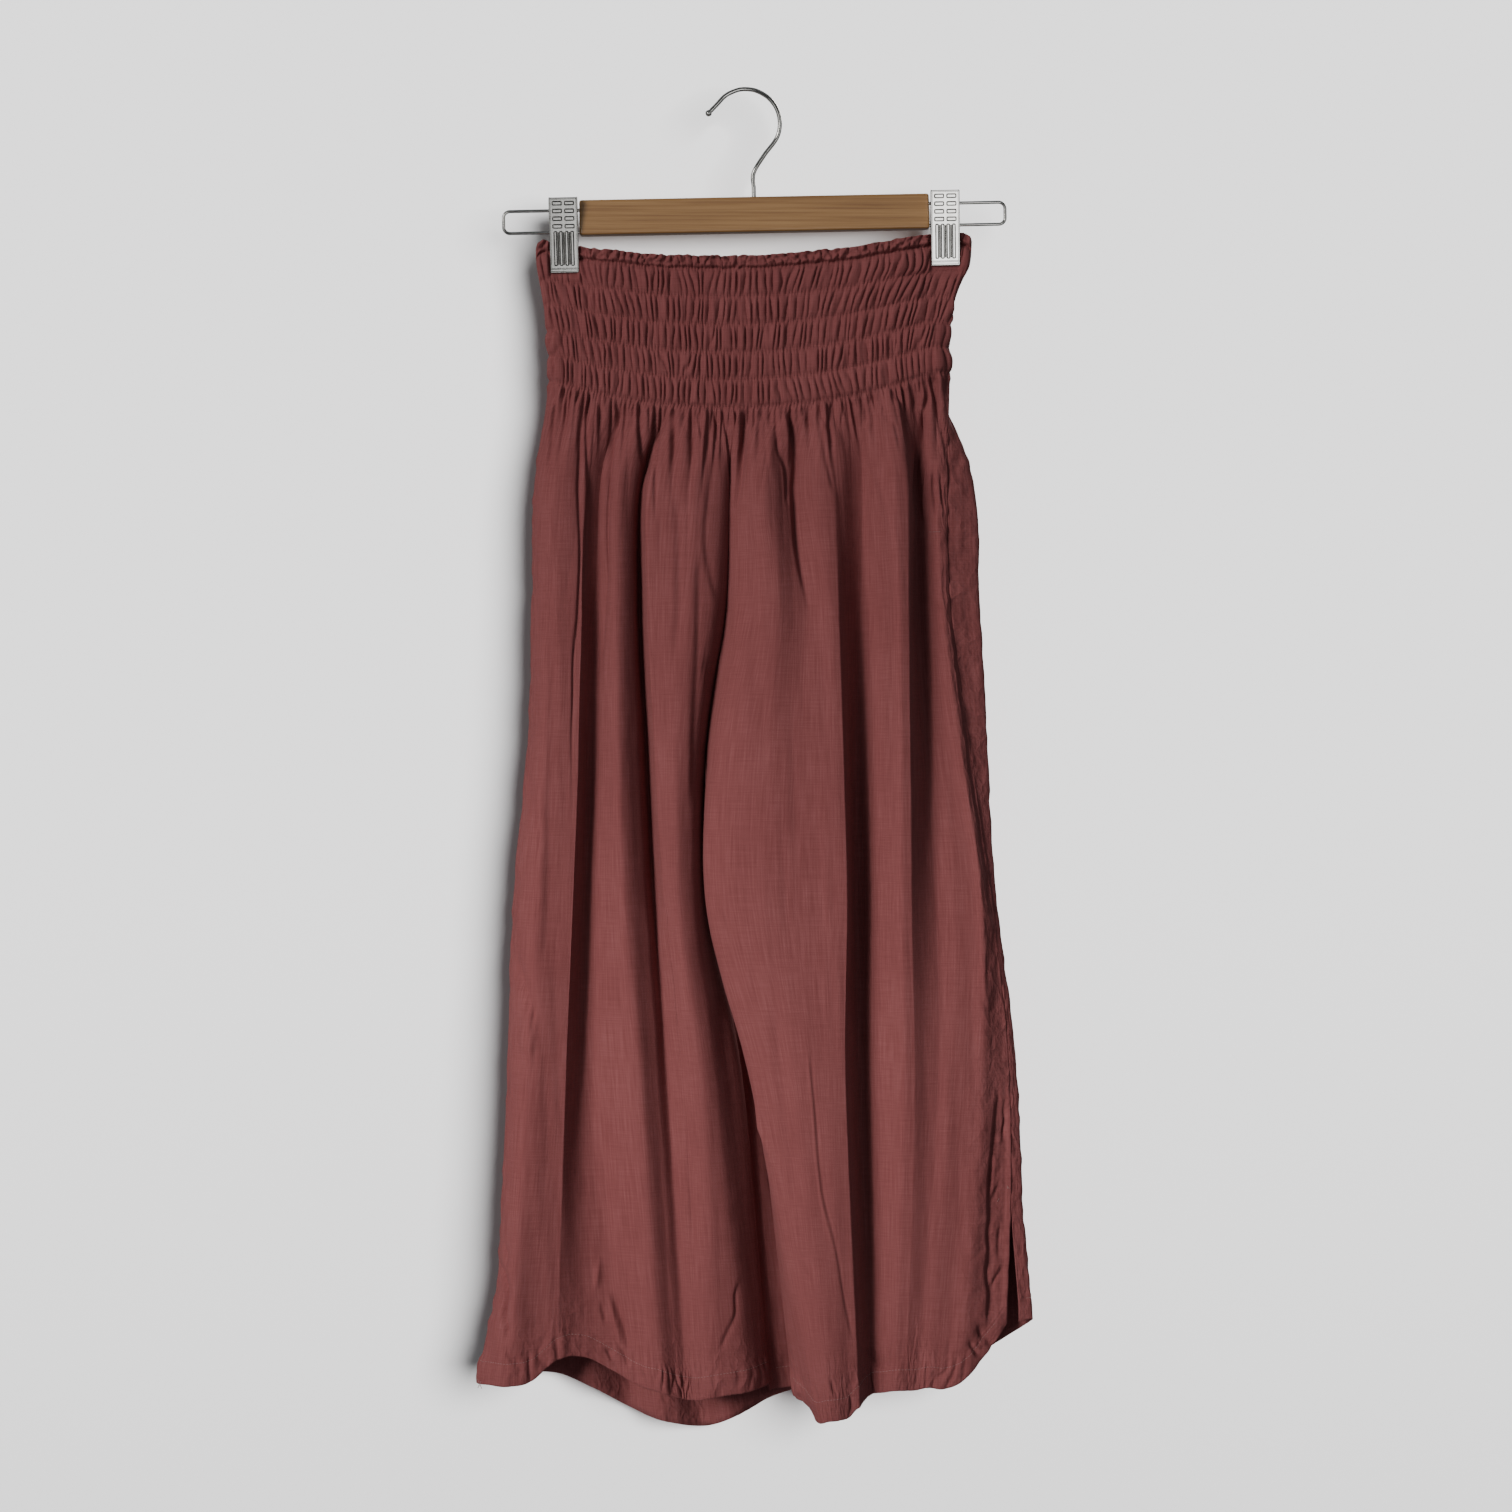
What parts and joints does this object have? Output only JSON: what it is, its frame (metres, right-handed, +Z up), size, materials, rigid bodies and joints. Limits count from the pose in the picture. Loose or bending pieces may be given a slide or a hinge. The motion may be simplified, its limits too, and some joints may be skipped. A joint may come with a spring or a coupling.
{
  "type": "harem pants on a clip hanger",
  "caption": "Wide-leg harem pants with a smocked high waist, side pocket and slit hems, hung by metal clips from a wood trouser hanger.",
  "frame": {"origin": "underside of the hook's crown, where a nail or a rail carries the hanger", "axes": "+Z up, -Y the garment's front, +X the wearer's left"},
  "size_m": [0.446, 0.0749, 1.0784],
  "materials": {
    "cloth": "soft plain-weave viscose, dusty rose",
    "wood": "clear satin varnish",
    "steel": "bright nickel plate"
  },
  "bodies": {
    "root": {"front_panel_right": "cloth", "front_panel_left": "cloth", "back_panel_right": "cloth", "back_panel_left": "cloth", "pocket_bag_left": "cloth", "hanger_bar": "wood", "hanger_hook": "steel", "hanger_rail_right": "steel", "hanger_rail_left": "steel", "clip_right_front": "steel", "clip_right_back": "steel", "clip_right_spring": "steel", "clip_left_front": "steel", "clip_left_back": "steel", "clip_left_spring": "steel"}
  },
  "joints": []
}
